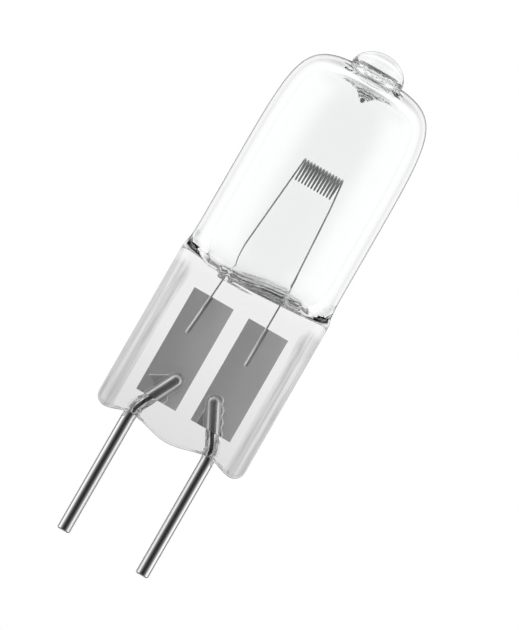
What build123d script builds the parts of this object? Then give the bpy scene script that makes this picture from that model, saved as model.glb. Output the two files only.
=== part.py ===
from build123d import *
import os
from math import radians, sqrt, tan

# Clear quartz projector bulb on two pins. Lengths are in millimetres, angles in degrees.
# The origin is midway between the free ends of the pins. +Z runs up the bulb's axis to the
# sealed tip, X along the row of pins and Y through the thickness of the press.

# Pins: straight outside, and leaning towards the axis inside the glass
PIN_SPACING = 6.35
PIN_DIAMETER = 1.0
PIN_FREE_LENGTH = 9.5
PIN_BEND_RISE = 0.35
PIN_SEALED_RISE = 4.0
PIN_LEAN = 27.0
PIN_BEND_RADIUS = 3.5
PIN_END_CHAMFER = 0.08

# Press: the pinched foot of the envelope, thinner between its two round-backed ribs
PRESS_WIDTH = 11.77
PRESS_HEIGHT = 11.45
RIB_THICKNESS = 3.2
RIB_WIDTH = 1.0
WEB_THICKNESS = 2.4
RECESS_TOP_DROP = 0.35
RECESS_CORNER_RADIUS = 0.8
RECESS_DRAFT = 30.0
FOOT_CORNER_RADIUS = 0.8
FOOT_CORNER_DROP = 0.45
FOOT_MIDDLE_DROP = 0.56
PIN_MOUTH_FLARE = 0.2
PIN_MOUTH_DEPTH = 0.35

# Bulb: straight above the shoulder, a slight taper above the knee, then the rounded dome edge
BULB_DIAMETER = 11.31
BULB_WALL = 0.9
SHOULDER_HEIGHT = 3.45
KNEE_RISE = 9.2
KNEE_RADIUS = 24.0
DOME_EDGE_RISE = 4.32
DOME_EDGE_INSET = 0.75
DOME_EDGE_RADIUS = 2.2
CROWN_RISE = 0.8
CROWN_THICKNESS = 1.3
CAVITY_EDGE_RADIUS = 2.3
CAVITY_FLOOR_RISE = 1.0
CAVITY_FLOOR_ROUNDING = 2.4

# Exhaust tip on the dome, and the closed round end of the exhaust bore below it
TIP_DIAMETER = 4.0
TIP_HEIGHT = 1.55
TIP_ROUNDING = 1.5
EXHAUST_BORE_DIAMETER = 1.8

# Foils, and how far they and the filament sit to the right of the bulb's axis
FOIL_WIDTH = 3.18
FOIL_LENGTH = 8.28
FOIL_THICKNESS = 0.03
FOIL_GAP = 1.22
FOIL_RISE = 1.7
SEAL_OFFSET = 0.11

# Filament: the coil's height and depth are those of the wire's centre line
WIRE_DIAMETER = 0.13
COIL_TURNS = 12
COIL_PITCH = 0.25
COIL_HEIGHT = 1.6
COIL_DEPTH = 0.44
COIL_BEVEL = 0.13
LIGHT_CENTRE_HEIGHT = 30.3
LEG_BEND_RISE = 2.2
WELD_LENGTH = 3.06

# Where each leg ends on its foil: distance out from the foil's middle, and lean towards the axis
LEFT_WELD_OFFSET = 0.5
LEFT_WELD_LEAN = 5.0
RIGHT_WELD_OFFSET = -0.17
RIGHT_WELD_LEAN = -0.7

# Share of the coil's pitch that the wire gains up the front, over the top and down the back
FRONT_GAIN = 0.38
TOP_GAIN = 0.46
BACK_GAIN = 0.08

# Bezier points of the shoulder's bowl, as shares of the squeeze and of the drop from neck to press
BOWL_CURVE = ((0, 0), (0, 0.55), (0.35, 0.78), (0.8, 0.82))

# Reach of the Bezier handles that draw a quarter and an eighth of a circle, as shares of its radius
QUARTER_PULL = 0.5523
EIGHTH_PULL = 0.2652

# Places that follow from the sizes
PIN_RADIUS = PIN_DIAMETER / 2
WIRE_RADIUS = WIRE_DIAMETER / 2
BULB_RADIUS = BULB_DIAMETER / 2
CAVITY_RADIUS = BULB_RADIUS - BULB_WALL
FOOT_Z = PIN_FREE_LENGTH
PRESS_TOP_Z = FOOT_Z + PRESS_HEIGHT
NECK_Z = PRESS_TOP_Z + SHOULDER_HEIGHT
KNEE_Z = NECK_Z + KNEE_RISE
DOME_EDGE_Z = KNEE_Z + DOME_EDGE_RISE
CROWN_Z = DOME_EDGE_Z + CROWN_RISE
CAVITY_TOP_Z = CROWN_Z - CROWN_THICKNESS
CAVITY_FLOOR_Z = PRESS_TOP_Z + CAVITY_FLOOR_RISE
FOIL_BOTTOM_Z = FOOT_Z + FOIL_RISE
FOIL_TOP_Z = FOIL_BOTTOM_Z + FOIL_LENGTH
WELD_END_Z = FOIL_TOP_Z - WELD_LENGTH
COIL_TOP_Z = LIGHT_CENTRE_HEIGHT + COIL_HEIGHT / 2
COIL_BOTTOM_Z = LIGHT_CENTRE_HEIGHT - COIL_HEIGHT / 2

BOWL_STEPS = 4
WIRE_SIDES = 8
LEFT = -1
RIGHT = 1
WELD_OFFSET = {LEFT: LEFT_WELD_OFFSET, RIGHT: RIGHT_WELD_OFFSET}
WELD_LEAN = {LEFT: LEFT_WELD_LEAN, RIGHT: RIGHT_WELD_LEAN}
QUARTERS = ((1, 1), (-1, 1), (-1, -1), (1, -1))


def between(start, end, share):
    """Value that lies the given share of the way from start to end."""
    return start + (end - start) * share


def round_quarter(radius):
    """Bezier points of a quarter circle drawn as two eighths, from the Y axis to the X axis."""
    joint = radius * sqrt(0.5)
    reach = radius * EIGHTH_PULL
    slant = reach * sqrt(0.5)
    return [
        (0, radius),
        (reach, radius),
        (joint - slant, joint + slant),
        (joint, joint),
        (joint + slant, joint - slant),
        (radius, reach),
        (radius, 0),
    ]


def flat_quarter(half_width, half_thickness):
    """Bezier points of a quarter of a round-ended flat section: a straight face and its end."""
    joint = half_width - half_thickness
    reach = half_thickness * QUARTER_PULL
    return [
        (0, half_thickness),
        (joint / 3, half_thickness),
        (joint * 2 / 3, half_thickness),
        (joint, half_thickness),
        (joint + reach, half_thickness),
        (half_width, reach),
        (half_width, 0),
    ]


def blended_section(round_points, flat_points, squeeze, height):
    """Level face whose outline lies the given share of the way from a round one to a flat one."""
    curves = []
    for x_side, y_side in QUARTERS:
        points = []
        for (round_x, round_y), (flat_x, flat_y) in zip(round_points, flat_points):
            x = x_side * between(round_x, flat_x, squeeze)
            y = y_side * between(round_y, flat_y, squeeze)
            points.append((x, y, height))
        curves.append(Bezier(*points[:4]))
        curves.append(Bezier(*points[3:]))
    return make_face(curves)


def round_section(radius, height):
    """Level disc, its edge in eight arcs to match the flat section's eight edges."""
    return make_face([CenterArc((0, 0, height), radius, 45 * step, 45) for step in range(8)])


def flat_section(half_width, half_thickness, height):
    """Level face with two straight sides and round ends, its edge in eight pieces."""
    joint = half_width - half_thickness
    curves = []
    for x_side, y_side in QUARTERS:
        side_end = (x_side * joint, y_side * half_thickness, height)
        curves.append(Line((0, y_side * half_thickness, height), side_end))
        middle = (x_side * (joint + half_thickness * sqrt(0.5)), y_side * half_thickness * sqrt(0.5), height)
        curves.append(ThreePointArc(side_end, middle, (x_side * half_width, 0, height)))
    return make_face(curves)


def shoulder_section(share):
    """Level face of the squeezed tube at a point of the shoulder's curve."""
    round_points = round_quarter(BULB_RADIUS)
    flat_points = flat_quarter(PRESS_WIDTH / 2, RIB_THICKNESS / 2)
    return blended_section(round_points, flat_points, share.X, between(NECK_Z, PRESS_TOP_Z, share.Y))


def shoulder():
    """Tube squeezed flat between the neck and the press: a bowl, and a short slope below it."""
    curve = Bezier(*BOWL_CURVE)
    neck = round_section(BULB_RADIUS, NECK_Z)
    bowl = [shoulder_section(curve @ (step / BOWL_STEPS)) for step in range(1, BOWL_STEPS + 1)]
    press_top = flat_section(PRESS_WIDTH / 2, RIB_THICKNESS / 2, PRESS_TOP_Z)
    return loft([neck, *bowl]) + loft([bowl[-1], press_top], ruled=True)


def turned(*curves):
    """Solid turned on the bulb's axis from the closed half outline that the curves draw."""
    edges = [edge for curve in curves for edge in curve.edges()]
    return revolve(Plane.XZ * make_face(edges), Axis.Z)


def bulb_outside():
    """Turned outside of the bulb: straight wall, slight taper, dome and melted exhaust tip."""
    tip_radius = TIP_DIAMETER / 2
    tip_z = CROWN_Z + TIP_HEIGHT
    side = FilletPolyline(
        (BULB_RADIUS, NECK_Z),
        (BULB_RADIUS, KNEE_Z),
        (BULB_RADIUS - DOME_EDGE_INSET, DOME_EDGE_Z),
        (tip_radius, CROWN_Z),
        radius=[KNEE_RADIUS, DOME_EDGE_RADIUS],
    )
    tip = FilletPolyline((tip_radius, CROWN_Z), (tip_radius, tip_z), (0, tip_z), radius=TIP_ROUNDING)
    axis = Polyline((0, tip_z), (0, NECK_Z), (BULB_RADIUS, NECK_Z))
    return turned(side, tip, axis)


def gas_space():
    """Hollow of the bulb: the exhaust bore's round end, the dome, and the pinched floor."""
    bore_radius = EXHAUST_BORE_DIAMETER / 2
    side = FilletPolyline(
        (CAVITY_RADIUS, CAVITY_FLOOR_Z),
        (CAVITY_RADIUS, CAVITY_TOP_Z),
        (bore_radius, CAVITY_TOP_Z),
        radius=CAVITY_EDGE_RADIUS,
    )
    bore = CenterArc((0, CAVITY_TOP_Z), bore_radius, 0, 90)
    bottom = Polyline((0, CAVITY_TOP_Z + bore_radius), (0, CAVITY_FLOOR_Z), (CAVITY_RADIUS, CAVITY_FLOOR_Z))
    return turned(side, bore, bottom) & pinched_room()


def pinched_room():
    """Room between the two walls that the pinch brings together, with a round-cornered floor."""
    top_z = 2 * CROWN_Z
    walls = FilletPolyline(
        (-BULB_RADIUS, top_z),
        (-CAVITY_RADIUS, NECK_Z),
        (-CAVITY_RADIUS, CAVITY_FLOOR_Z),
        (CAVITY_RADIUS, CAVITY_FLOOR_Z),
        (CAVITY_RADIUS, NECK_Z),
        (BULB_RADIUS, top_z),
        radius=CAVITY_FLOOR_ROUNDING,
    )
    lid = Line((BULB_RADIUS, top_z), (-BULB_RADIUS, top_z))
    outline = make_face([*walls.edges(), lid])
    return extrude(Plane.YZ.offset(-BULB_DIAMETER) * outline, 2 * BULB_DIAMETER)


def wave(start, end):
    """Two equal tangent arcs that leave the start level and reach the end level."""
    (start_x, start_z), (end_x, end_z) = start, end
    run = end_x - start_x
    rise = end_z - start_z
    radius = (run * run + rise * rise) / (4 * rise)
    middle = ((start_x + end_x) / 2, (start_z + end_z) / 2)
    return [RadiusArc(start, middle, -radius), RadiusArc(middle, end, radius)]


def press_outline():
    """Front outline of the press: rounded corners and a foot that rises to each pin."""
    half_width = PRESS_WIDTH / 2
    corner_x = half_width - FOOT_CORNER_RADIUS
    corner_z = FOOT_Z - FOOT_CORNER_DROP
    side_z = corner_z + FOOT_CORNER_RADIUS
    crests = [
        (-corner_x, corner_z),
        (-PIN_SPACING / 2, FOOT_Z),
        (0, FOOT_Z - FOOT_MIDDLE_DROP),
        (PIN_SPACING / 2, FOOT_Z),
        (corner_x, corner_z),
    ]
    foot = [arc for start, end in zip(crests, crests[1:]) for arc in wave(start, end)]
    right_corner = RadiusArc((corner_x, corner_z), (half_width, side_z), -FOOT_CORNER_RADIUS)
    left_corner = RadiusArc((-half_width, side_z), (-corner_x, corner_z), -FOOT_CORNER_RADIUS)
    top = Polyline(
        (half_width, side_z),
        (half_width, PRESS_TOP_Z),
        (-half_width, PRESS_TOP_Z),
        (-half_width, side_z),
    )
    return make_face([*foot, right_corner, *top.edges(), left_corner])


def jaw_recess():
    """Drafted pocket that the front pressing jaw leaves between the ribs, open at the foot."""
    width = PRESS_WIDTH - 2 * RIB_WIDTH
    length = 2 * PRESS_HEIGHT
    depth = RIB_THICKNESS - WEB_THICKNESS
    centre_z = PRESS_TOP_Z - RECESS_TOP_DROP - length / 2
    outline = Pos(0, centre_z) * RectangleRounded(width, length, RECESS_CORNER_RADIUS)
    return extrude(Plane.XZ.offset(WEB_THICKNESS / 2) * outline, depth, taper=-RECESS_DRAFT)


def press():
    """Flat foot of the envelope: two ribs, a thinner web and a waved lower edge."""
    slab = extrude(flat_section(PRESS_WIDTH / 2, RIB_THICKNESS / 2, PRESS_TOP_Z), -2 * PRESS_HEIGHT)
    front = jaw_recess()
    outline = extrude(Plane.XZ.offset(-RIB_THICKNESS) * press_outline(), 2 * RIB_THICKNESS)
    return (slab & outline) - front - mirror(front, Plane.XZ)


def pin_mouth(side):
    """Cone of clear space where the glass draws back from one pin."""
    cone = Cone(PIN_RADIUS + 2 * PIN_MOUTH_FLARE, PIN_RADIUS, 2 * PIN_MOUTH_DEPTH)
    return Pos(side * PIN_SPACING / 2, 0, FOOT_Z) * cone


def rod(path, radius):
    """Round bar carried along a path."""
    return sweep(Plane(path @ 0, z_dir=path % 0) * Circle(radius), path=path)


def pin_path(side, spare=0):
    """Centre line of one pin, from its free end up to its leaning inner end and any spare length."""
    x = side * PIN_SPACING / 2
    bend_z = FOOT_Z + PIN_BEND_RISE
    end_z = FOOT_Z + PIN_SEALED_RISE + spare
    end_x = x - side * (end_z - bend_z) * tan(radians(PIN_LEAN))
    return FilletPolyline((x, 0, 0), (x, 0, bend_z), (end_x, 0, end_z), radius=PIN_BEND_RADIUS)


def contact_pin(side):
    """One pin, with a small chamfer on its free end and its sealed end cut square."""
    pin = rod(pin_path(side), PIN_RADIUS)
    return chamfer(pin.edges().sort_by(Axis.Z)[0], PIN_END_CHAMFER)


def foil_centre_x(side):
    """Middle of one foil's width."""
    return SEAL_OFFSET + side * (FOIL_WIDTH + FOIL_GAP) / 2


def leg_point(side, height):
    """Point of one leg's straight lower run, on the foil and up to the leg's bend."""
    weld_end_x = foil_centre_x(side) + side * WELD_OFFSET[side]
    x = weld_end_x - side * (height - WELD_END_Z) * tan(radians(WELD_LEAN[side]))
    return (x, 0, height)


def coil_points():
    """Corners of the flat coil's turns: over the top, down the back, under and up the front."""
    first_x = SEAL_OFFSET - (COIL_TURNS + TOP_GAIN) * COIL_PITCH / 2
    front_y = -COIL_DEPTH / 2
    back_y = COIL_DEPTH / 2
    points = []
    for turn in range(COIL_TURNS + 1):
        top_x = first_x + turn * COIL_PITCH
        over_x = top_x + TOP_GAIN * COIL_PITCH
        points.append((top_x, front_y, COIL_TOP_Z))
        points.append((over_x, back_y, COIL_TOP_Z))
        if turn < COIL_TURNS:
            points.append((over_x + BACK_GAIN * COIL_PITCH, back_y, COIL_BOTTOM_Z))
            points.append((top_x + (1 - FRONT_GAIN) * COIL_PITCH, front_y, COIL_BOTTOM_Z))
    return points


def bevelled(points, reach):
    """Route through the points, each inner corner cut back by the given reach on both its runs."""
    corners = [Vector(*point) for point in points]
    route = [corners[0]]
    for before, corner, after in zip(corners, corners[1:], corners[2:]):
        for neighbour in (before, after):
            route.append(corner + (neighbour - corner).normalized() * reach)
    route.append(corners[-1])
    return route


def tungsten_filament():
    """One wire, drawn with eight flats: up the left leg, round the coil and down the right leg."""
    bend_z = FOIL_TOP_Z + LEG_BEND_RISE
    left_leg = [leg_point(LEFT, WELD_END_Z), leg_point(LEFT, bend_z)]
    right_leg = [leg_point(RIGHT, bend_z), leg_point(RIGHT, WELD_END_Z)]
    path = Polyline(*bevelled([*left_leg, *coil_points(), *right_leg], COIL_BEVEL))
    section = RegularPolygon(WIRE_RADIUS, WIRE_SIDES, major_radius=False)
    return sweep(Plane(path @ 0, z_dir=path % 0) * section, path=path, transition=Transition.RIGHT)


def seal_foil(side, pin, filament):
    """Thin strip, drawn over the front half of the pin's inner end and of the welded leg."""
    cover_depth = PIN_RADIUS + FOIL_THICKNESS
    front_aligned = (Align.CENTER, Align.MAX, Align.CENTER)
    place = Pos(foil_centre_x(side), 0, (FOIL_BOTTOM_Z + FOIL_TOP_Z) / 2)
    sheet = place * Box(FOIL_WIDTH, FOIL_THICKNESS, FOIL_LENGTH, align=front_aligned)
    room = place * Box(FOIL_WIDTH, cover_depth, FOIL_LENGTH, align=front_aligned)
    pin_cover = rod(pin_path(side, FOIL_THICKNESS), cover_depth)
    weld = Line(leg_point(side, FOIL_TOP_Z + FOIL_THICKNESS), leg_point(side, WELD_END_Z - FOIL_THICKNESS))
    weld_cover = rod(weld, WIRE_RADIUS + FOIL_THICKNESS)
    return sheet + ((pin_cover + weld_cover) & room) - pin - filament


def quartz_envelope(sealed_pieces):
    """Glass body with its gas space, fused round the pieces that are sealed into the press."""
    glass = bulb_outside() + shoulder() + press() - gas_space()
    return glass - [pin_mouth(LEFT), pin_mouth(RIGHT), *sealed_pieces]


filament = tungsten_filament()
pins = {side: contact_pin(side) for side in (LEFT, RIGHT)}
foils = {side: seal_foil(side, pins[side], filament) for side in (LEFT, RIGHT)}
pieces = {
    "tungsten_filament": filament,
    "contact_pin_left": pins[LEFT],
    "contact_pin_right": pins[RIGHT],
    "seal_foil_left": foils[LEFT],
    "seal_foil_right": foils[RIGHT],
}
pieces["quartz_envelope"] = quartz_envelope(list(pieces.values()))

os.makedirs("parts", exist_ok=True)
for name, piece in pieces.items():
    export_step(piece, f"parts/{name}.step")
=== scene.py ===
import math

import bmesh
import bpy
import numpy as np
from mathutils import Matrix


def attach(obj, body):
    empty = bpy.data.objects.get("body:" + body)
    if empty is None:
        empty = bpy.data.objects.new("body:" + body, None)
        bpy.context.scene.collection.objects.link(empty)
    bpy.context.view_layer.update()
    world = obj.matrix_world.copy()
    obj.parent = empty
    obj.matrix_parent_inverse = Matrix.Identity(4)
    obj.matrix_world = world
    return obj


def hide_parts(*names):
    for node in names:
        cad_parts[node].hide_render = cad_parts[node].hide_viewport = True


# Clear quartz projector bulb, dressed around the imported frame. Lengths are in millimetres and are
# turned into metres where a mesh, a material or the camera is made. The origin is midway between the
# free ends of the pins, +Z runs up the bulb's axis, X along the pins, and the front faces -Y.
MM = 0.001
LEFT = -1
RIGHT = 1

# Pins
PIN_X = 3.175
PIN_RADIUS = 0.5
PIN_BEND_Z = 9.85
PIN_BEND_RADIUS = 3.5
PIN_LEAN = math.radians(27)
PIN_END_Z = 13.5
PIN_CHAMFER = 0.08

# Press, with its ribs, and the web at the bottom of the recess that the jaws left
PRESS_HALF_WIDTH = 5.885
PRESS_TOP_Z = 20.95
RIB_HALF = 1.6
WEB_HALF = 1.2
RECESS_TOP_Z = 20.15
RECESS_HALF_WIDTH = 4.885
RECESS_CORNER = 0.8
RECESS_EDGE = 0.45
RECESS_TOP_STEEPNESS = 0.3

# Waved foot of the press
FOOT_PIN_Z = 9.5
FOOT_MIDDLE_Z = 8.94
FOOT_CORNER_Z = 9.05
FOOT_CORNER_RADIUS = 0.8
FOOT_CORNER_X = PRESS_HALF_WIDTH - FOOT_CORNER_RADIUS
FOOT_ROUNDING = 0.45

# Crease in the foot's rounding on both sides of a pin. Its depth is a share of the thickness, its start
# and end are distances from the pin's axis, and its place and width in the rounding are in radians.
CREASE_DEPTH = 0.55
CREASE_START = 0.45
CREASE_RISE = 0.1
CREASE_END = 1.4
CREASE_FALL = 0.3
CREASE_TURN = 0.7
CREASE_WIDTH = 0.14

# Bulb, dome and tip
BULB_RADIUS = 5.655
BULB_WALL = 0.9
NECK_Z = 24.4
DOME_START_Z = 29.5
DOME_HANDLE_Z = 37.8
CROWN_Z = 38.75
CROWN_HANDLE_RADIUS = 5.4
TIP_RADIUS = 2.0
TIP_TOP_Z = 40.27
TIP_SEAM = 0.03

# Pinched end of the bulb. Its curves run through pairs of shares: how far the round tube is squeezed
# flat, and how far down the pinch that is.
ROUND_TUBE = (0, 0)
BOWL_HANDLES = ((0, 0.5), (0.3, 0.64))
BOWL_END = (0.68, 0.7)
FILLET_HANDLES = ((0.88, 0.73), (1, 0.84))
CAVITY_HANDLES = ((0, 0.67), (0.44, 0.95))
FLAT_END = (1, 1)
BOWL_LEAN = 0.24
BOWL_LEAN_WIDTH = 4.4

# Gas space, with the drop, the ledge and the ring of rough glass under the crown
CAVITY_RADIUS = BULB_RADIUS - BULB_WALL
DROP_LENGTH = 1.1
DROP_RADIUS = 0.6
LEDGE_DEPTH = 0.3
LEDGE_RADIUS = 1.35
LEDGE_EDGE = 0.15
RING_ROUGHNESS = 0.045
RING_START = 0.5
RING_RISE = 0.3
RING_END = 2.3
RING_FALL = 0.4

# Floor of the gas space: sunk, with a step up from left to right, a dip, ripples and raised corners.
# A ripple has a height, a rate in radians a millimetre and a start in radians.
FLOOR_Z = 21.8
FLOOR_HALF_WIDTH = 4.3
FLOOR_HALF = 1.4
FLOOR_SINK = 0.2
FLOOR_STEP = 0.25
FLOOR_STEP_X = -2.2
FLOOR_STEP_RUN = 2.4
FLOOR_DIP = 0.1
FLOOR_DIP_X = 2.0
FLOOR_DIP_RUN = 0.8
FLOOR_RIPPLES = ((0.02, 4.1, 0.6), (0.015, 7.3, 0.0))
FLOOR_CORNER_RISE = 0.3
FLOOR_CORNER_X = 3.7
FLOOR_CORNER_RUN = 1.05
FLOOR_CORNER_POWER = 1.2

# Folds along the middle of the floor, level where a leg passes. Rates are in radians a millimetre.
SEAM_DROP = 0.15
SEAM_DRAW_IN = 0.7
SEAM_DRAW_IN_X = 3.3
FOLD_HEIGHT = 0.24
FOLD_LEFT_X = -3.0
FOLD_RIGHT_X = 3.6
FOLD_FADE = 0.4
FOLD_RISE_POWER = 6
FOLD_RATE = 6.0
FOLD_SLANT_RATE = 0.9
FOLD_START = 3.4
FOLD_WANDER = 0.8
FOLD_WANDER_RATE = 2.3
LEG_PLACES = (-2.05, 2.25)
LEG_CLEARANCE = 0.15

# Painted shade of the folds: from and to which X it runs between the legs, and on both sides of them
SHADE_HEIGHT = 0.8
SHADE_HEIGHT_FADE = 0.2
SHADE_BETWEEN_LEGS = (-1.95, 2.35)
SHADE_BETWEEN_LEGS_FADE = 0.15
SHADE_TO_ENDS = (-2.9, 3.5)
SHADE_TO_ENDS_FADE = 0.3

# Bubble in the tip, rough from a turn in radians downwards
BUBBLE_RADIUS = 1.6
BUBBLE_TOP_Z = 39.9
BUBBLE_BOTTOM_Z = 38.1
BUBBLE_ROUGHNESS = 0.02
BUBBLE_ROUGH_TURN = 1.5
BUBBLE_ROUGH_RUN = 0.5

# Bumps of fused glass: each wave has a rate along X and along Y, in radians a millimetre, and a start
BROAD_BUMPS = ((7.1, 1.3, 0.0), (-2.2, 5.3, 0.7))
FINE_BUMPS = ((13.0, 0.0, 4.0), (0.0, 11.0, 0.0))
FINE_BUMP_SHARE = 0.6

# Gaps that the glass leaves round the pins. Ends and fades are shares of a gap's run upwards. The last value
# is painted shade that darkens the glass all along a gap.
GAP_BOTTOM_Z = 9.62
GAP_TOP_Z = 11.15
GAP_IN_PIN = 0.02
GAP_WEDGE = 0.5
GAP_WEDGE_POWER = 3
GAP_WEDGE_END = 0.5
GAP_WEDGE_FADE = 0.45
GAP_SLEEVE = 0.14
GAP_SLEEVE_POWER = 2
GAP_SLEEVE_FADE = 0.3
GAP_OPENING = 0.1
PAINTED_GAP_SHADE = 0.25

# Foils, which stand a little right of the middle as the filament does
FOIL_WIDTH = 3.18
FOIL_GAP = 1.22
FOIL_BOTTOM_Z = 11.2
FOIL_TOP_Z = 19.48
FOIL_THICKNESS = 0.03
SEAL_OFFSET = 0.11
FOILS_LEFT_X = SEAL_OFFSET - FOIL_GAP / 2 - FOIL_WIDTH
FOILS_RIGHT_X = SEAL_OFFSET + FOIL_GAP / 2 + FOIL_WIDTH

# Foil drawn over a pin's inner end, by the distance from the pin's centre line, with painted shade on its
# core and its slopes
HUG_HEIGHT = 0.32
HUG_START = 0.42
HUG_WIDTH = 0.16
DARK_CORE = 0.23
DARK_SLOPE_START = 0.38
DARK_SLOPE_END = 0.58
DARK_SLOPE_SHARE = 0.6
DARK_EDGE = 0.06

# Crimps in which a foil stands off beside its pin, by the distance down from the pin's end: a flap and a
# pleat on the two sides of the left pin, and a ripple and a tent on those of the right one
CRIMP_HEIGHT = 0.1
CRIMP_EDGE = 0.08
# Painted shade in the crimps beside the left pin and the right one
PAINTED_CRIMP_SHADE = {LEFT: 0.3, RIGHT: 0.7}
FLAP_WIDTH = 0.8
FLAP_START = 0.6
FLAP_RUN = 1.2
FLAP_END = 1.95
FLAP_EDGE = 0.1
PLEAT_WIDTH = 0.25
PLEAT_START = 1.5
PLEAT_RUN = 0.3
RIPPLE_WIDTH = 0.08
RIPPLE_SWING = 0.06
RIPPLE_RATE = 7.5
TENT_WIDTH = 0.9
TENT_START = 0.9
TENT_RUN = 1.7

# Welds of the legs on the foils. A weld's right flank carries painted shade, which starts further left near
# its top.
WELD_END_Z = 16.42
WELD_X = {LEFT: -2.6, RIGHT: 2.13}
WELD_SLOPE = {LEFT: 0.09, RIGHT: 0.012}
WELD_HEIGHT = 0.1
WELD_WIDTH = 0.06
FLANK_WIDTH = 0.2
FLANK_RISE = 0.04
FLANK_FALL = 0.06
FLANK_SHIFT = 0.05
FLANK_SHIFT_Z = 18.1
FLANK_SHIFT_RUN = 0.4

# Filament: a flat coil, the share of a turn's advance that each stretch of the turn makes, and the legs
# as places in X and Z from the coil down to the weld
WIRE_RADIUS = 0.065
COIL_TURNS = 12
COIL_PITCH = 0.25
COIL_HEIGHT = 1.6
COIL_DEPTH = 0.44
COIL_HALF_DEPTH = COIL_DEPTH / 2
COIL_HALF_STRAIGHT = COIL_HEIGHT / 2 - COIL_HALF_DEPTH
COIL_CENTRE_Z = 30.3
FRONT_GAIN = 0.38
TOP_GAIN = 0.46
BACK_GAIN = 0.08
UNDER_GAIN = 1 - FRONT_GAIN - TOP_GAIN - BACK_GAIN
LEG_ROUTE = {
    LEFT: ((-1.64, 28.8), (-2.1, 23.9), (-2.17, 21.6), (-2.33, 19.4), (WELD_X[LEFT], WELD_END_Z)),
    RIGHT: ((1.87, 28.8), (2.15, 23.9), (2.19, 22.4), (2.17, 19.4), (WELD_X[RIGHT], WELD_END_Z)),
}

# How finely the surfaces are divided. A crowding is the power that draws rows together at one end.
OUTER_COLUMNS = 288
TIP_ROWS = 22
DOME_SAMPLES = 400
DOME_ROWS = 40
DOME_CROWDING = 0.9
SIDE_ROWS = 7
BOWL_ROWS = 36
FILLET_ROWS = 14
PRESS_ROWS = 58
PRESS_CROWDING = 1.15
FOOT_ROWS = 22
ROUND_END_SHARE = 0.4
CAVITY_COLUMNS = 200
CAVITY_DOME_ROWS = 90
CAVITY_DOME_CROWDING = 1.1
CAVITY_SIDE_ROWS = 6
CAVITY_PINCH_ROWS = 46
FLOOR_ROWS = 16
BUBBLE_COLUMNS = 96
BUBBLE_ROWS = 60
GAP_COLUMNS = 48
GAP_ROWS = 40
PIN_SIDES = 40
PIN_ROWS = 24
PIN_BEND_ROWS = 14
PIN_LEAN_ROWS = 30
PIN_LEAN_CROWDING = 2
WIRE_SIDES = 12
COIL_BEND_ROWS = 13
COIL_SIDE_ROWS = 12
LEG_ROWS = 90
FOIL_COLUMNS = 120
FOIL_ROWS = 190
FOIL_CROWDING = 1.5

# Angle between two faces from which their edge is shaded as sharp
SHARP_ANGLE = math.radians(40)

# Small amounts: rounding errors that are let pass, the step that tells a doubled point of a path from its
# twin, and in metres the distance within which points are merged
ROUNDING = 1e-9
NUDGE = 1e-6
MERGE_DISTANCE = 1e-7

# Tones. A stop is a place from 0 to 1 and a grey, or a colour as red, green and blue. A grain is a noise
# scale in the object's own metres, and its stretch multiplies the three axes.
# Name of the attribute that carries painted shade on a mesh
PAINTED_SHADE_ATTRIBUTE = "painted_shade"
QUARTZ_IOR = 1.458
QUARTZ_TONE_BOTTOM_Z = 9
QUARTZ_TONE_TOP_Z = 25
QUARTZ_TONE = ((0.0, 0.785), (0.25, 0.845), (0.44, 0.893), (0.72, 0.91), (0.87, (0.985, 0.993, 0.99)))
# Painted shade in the folds of the floor, broken up by noise into swirls
PAINTED_FOLD_SHADE_TONE = ((0.4, 0.1), (0.6, 0.5))
PAINTED_FOLD_SHADE_GRAIN = 1200.0
PAINTED_FOLD_SHADE_STRETCH = (0.5, 1.5, 1.5)
BARE_PIN_TONE = ((0.3, 0.84), (0.7, 0.87))
# Painted shade of a pin inside the glass, streaked
PAINTED_SHADE_PIN_TONE = ((0.42, 0.5), (0.54, 0.97))
SEALED_PIN_EDGE = 0.05
PIN_GRAIN = 900.0
PIN_STRETCH = (4.0, 4.0, 0.3)
PIN_ROUGHNESS = 0.06
WIRE_TONE = ((0.3, 0.42), (0.7, 0.56))
WIRE_GRAIN = 3000.0
WIRE_STRETCH = (1.0, 1.0, 0.2)
WIRE_ROUGHNESS = 0.2
FLAT_FOIL_TONE = ((0.3, 0.84), (0.7, 0.93))
# Painted shade where a foil is drawn over its pin, in its crimps and on a weld's right flank
PAINTED_SHADE_FOIL_TONE = ((0.35, 0.12), (0.65, 0.3))
# Painted sheen: each foil darker at its left edge and lighter at its right
PAINTED_SHEEN_DRIFT = ((0.0, 0.74), (0.42, 1.0), (0.58, 0.8), (1.0, 1.0))
FOIL_GRAIN = 500.0
FOIL_STRETCH = (1.0, 1.0, 0.4)
FOIL_METALLIC = 0.68
FOIL_ROUGHNESS = 0.17
NOISE_DETAIL = 3.0

# Streaks along the ribs, with painted shade of their rounded edges, by the distance from the middle of the
# press
STREAKS_START = 4.6
STREAKS_END = 6.1
STREAKS_TOP_FADE = 0.6
STREAK_AND_SHADE_TONE = ((0.05, 1.0), (0.3, 0.78), (0.4, 0.75), (0.46, 0.58), (0.53, 0.78), (0.61, 0.92), (0.72, 0.66),
               (0.8, 0.8), (0.87, 0.6), (1.0, 0.8))
WANDER = 0.2
WANDER_GRAIN = 500.0
WANDER_STRETCH = (1.0, 1.0, 0.5)
STRANDS_START = 4.7
STRANDS_FULL = 5.0
STRAND_TONE = ((0.4, 0.72), (0.52, 1.0))
STRAND_GRAIN = 4000.0
STRAND_STRETCH = (1.0, 0.2, 0.04)

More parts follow.
